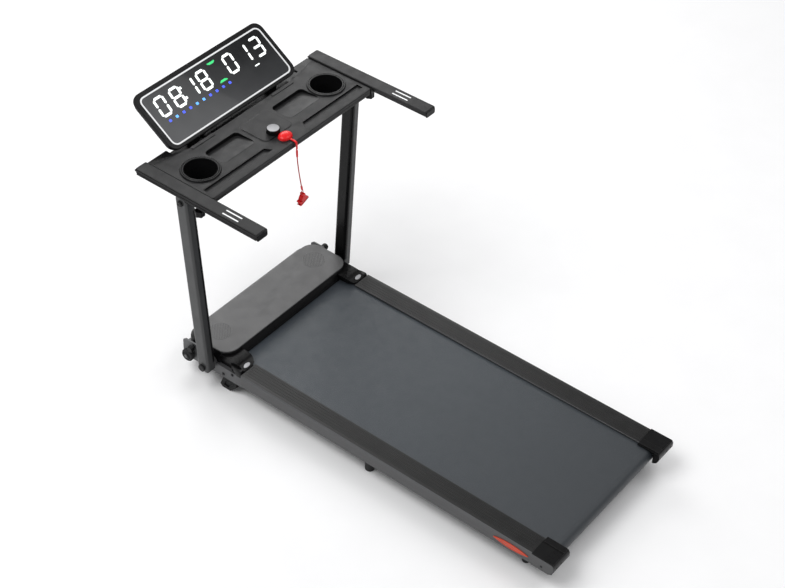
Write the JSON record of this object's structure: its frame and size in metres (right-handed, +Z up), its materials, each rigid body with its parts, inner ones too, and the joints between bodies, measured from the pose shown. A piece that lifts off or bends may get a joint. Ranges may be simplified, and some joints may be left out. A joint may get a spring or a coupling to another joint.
{
  "type": "folding motorised treadmill",
  "caption": "Flat low treadmill deck with two slim folding uprights, a level console with rear-pointing handrails, cup holders, a tilting display, a speed knob and a safety key.",
  "frame": {"origin": "on the floor under the middle of the whole machine", "axes": "+Y towards the console end, the way the user faces; +X to the user's right; +Z up"},
  "size_m": [0.702, 1.41, 0.8143],
  "materials": {
    "rail_aluminium": "satin anodised, slightly brushed along its length",
    "tread_rubber": "fine cross ribs",
    "frame_steel": "satin powder coat",
    "post_paint": "satin powder coat, dark grey",
    "black_plastic": "fine grain",
    "console_plastic": "fine grain, charcoal",
    "cover_plastic": "fine grain, mid grey",
    "black_rubber": "matte",
    "belt_rubber": "matte, fine diamond grain, blue grey",
    "roller_steel": "turned",
    "black_steel": "blackened, satin",
    "silver_trim": "satin bright",
    "deck_board": "fibre board with a dark waxed coating",
    "electronics": "board with metal fins",
    "white_trim": "gloss",
    "display_glass": "glossy dark glass, glowing digits",
    "red_plastic": "semi gloss",
    "red_cord": "thin woven cord",
    "orange_lens": "ribbed reflector lens"
  },
  "bodies": {
    "base": {"belly_pan": "frame_steel", "cap_insert_left": "silver_trim", "cap_insert_right": "silver_trim", "control_board": "electronics", "cover_plate": "cover_plastic", "drive_belt": "black_rubber", "foot_mid_left": "black_rubber", "foot_mid_right": "black_rubber", "foot_rear_left": "black_rubber", "foot_rear_right": "black_rubber", "foot_strip_left": "tread_rubber", "foot_strip_right": "tread_rubber", "frame_side_left": "frame_steel", "frame_side_right": "frame_steel", "front_cap_left": "black_plastic", "front_cap_right": "black_plastic", "front_crossbar": "frame_steel", "front_foot_left": "black_plastic", "front_foot_right": "black_plastic", "mid_crossbar": "frame_steel", "motor": "black_steel", "motor_cover": "black_plastic", "pivot_bolt_left": "black_steel", "pivot_bolt_right": "black_steel", "power_inlet": "black_plastic", "rail_left": "rail_aluminium", "rail_right": "rail_aluminium", "rear_cap_left": "black_plastic", "rear_cap_right": "black_plastic", "rear_crossbar": "frame_steel", "reflector_left": "orange_lens", "reflector_right": "orange_lens", "running_belt": "belt_rubber", "running_deck": "deck_board"},
    "front_roller": {"front_roller": "roller_steel"},
    "rear_roller": {"rear_roller": "roller_steel"},
    "motor_pulley": {"motor_pulley": "roller_steel"},
    "wheel_left": {"wheel_left": "black_rubber"},
    "wheel_right": {"wheel_right": "black_rubber"},
    "lock_knob_left": {"lock_knob_left": "black_plastic"},
    "lock_knob_right": {"lock_knob_right": "black_plastic"},
    "uprights": {"post_left": "post_paint", "post_right": "post_paint"},
    "console": {"console_tray": "console_plastic", "arm_left": "console_plastic", "arm_right": "console_plastic", "cup_left": "black_plastic", "cup_right": "black_plastic", "display_mount": "black_plastic", "console_bolt_left": "black_steel", "console_bolt_right": "black_steel"},
    "clamp_knob_left": {"clamp_knob_left": "black_plastic"},
    "clamp_knob_right": {"clamp_knob_right": "black_plastic"},
    "display": {"display_housing": "black_plastic", "display_ring": "white_trim", "display_glass": "display_glass"},
    "speed_knob": {"speed_knob": "black_plastic"},
    "safety_key": {"safety_key": "red_plastic"},
    "lanyard": {"lanyard": "red_cord", "lanyard_clip": "red_plastic"}
  },
  "joints": [
    {"name": "upright_fold", "type": "hinge", "parent": "base", "child": "uprights", "pos_m": [0, 0.437, 0.078], "axis": [1, 0, 0], "range_deg": [0, 82]},
    {"name": "console_level", "type": "hinge", "parent": "uprights", "child": "console", "pos_m": [0, 0.437, 0.672], "axis": [1, 0, 0], "range_deg": [-82, 0]},
    {"name": "display_tilt", "type": "hinge", "parent": "console", "child": "display", "pos_m": [0, 0.57591, 0.71199], "axis": [1, 0, 0], "range_deg": [-30, 22]},
    {"name": "speed_knob_turn", "type": "hinge", "parent": "console", "child": "speed_knob", "pos_m": [-0.008, 0.424, 0.72], "axis": [0, 0, 1], "continuous": true},
    {"name": "safety_key_pull", "type": "slide", "parent": "console", "child": "safety_key", "axis": [0, 0, 1], "range_m": [0, 0.015]},
    {"name": "lanyard_swing", "type": "hinge", "parent": "safety_key", "child": "lanyard", "pos_m": [-0.002, 0.3489, 0.686], "axis": [1, 0, 0], "range_deg": [-78, 0]},
    {"name": "front_roller_spin", "type": "hinge", "parent": "base", "child": "front_roller", "pos_m": [0, 0.418, 0.065], "axis": [1, 0, 0], "continuous": true},
    {"name": "rear_roller_spin", "type": "hinge", "parent": "base", "child": "rear_roller", "pos_m": [0, -0.661, 0.065], "axis": [1, 0, 0], "continuous": true},
    {"name": "motor_spin", "type": "hinge", "parent": "base", "child": "motor_pulley", "pos_m": [0.22, 0.488, 0.058], "axis": [1, 0, 0], "continuous": true},
    {"name": "clamp_knob_left_turn", "type": "hinge", "parent": "console", "child": "clamp_knob_left", "pos_m": [-0.332, 0.38, 0.668], "axis": [0, 0, 1], "continuous": true},
    {"name": "lock_knob_left_turn", "type": "hinge", "parent": "base", "child": "lock_knob_left", "pos_m": [-0.281, 0.5, 0.094], "axis": [1, 0, 0], "continuous": true},
    {"name": "wheel_left_roll", "type": "hinge", "parent": "base", "child": "wheel_left", "pos_m": [-0.282, 0.513, 0.064], "axis": [1, 0, 0], "continuous": true},
    {"name": "clamp_knob_right_turn", "type": "hinge", "parent": "console", "child": "clamp_knob_right", "pos_m": [0.332, 0.38, 0.668], "axis": [0, 0, 1], "continuous": true},
    {"name": "lock_knob_right_turn", "type": "hinge", "parent": "base", "child": "lock_knob_right", "pos_m": [0.281, 0.5, 0.094], "axis": [1, 0, 0], "continuous": true},
    {"name": "wheel_right_roll", "type": "hinge", "parent": "base", "child": "wheel_right", "pos_m": [0.282, 0.513, 0.064], "axis": [1, 0, 0], "continuous": true}
  ],
  "couplings": [
    {"joint": "console_level", "follows": "upright_fold", "ratio": -1},
    {"joint": "lanyard_swing", "follows": "upright_fold", "ratio": -0.9},
    {"joint": "rear_roller_spin", "follows": "front_roller_spin", "ratio": 1},
    {"joint": "motor_spin", "follows": "front_roller_spin", "ratio": 2}
  ]
}
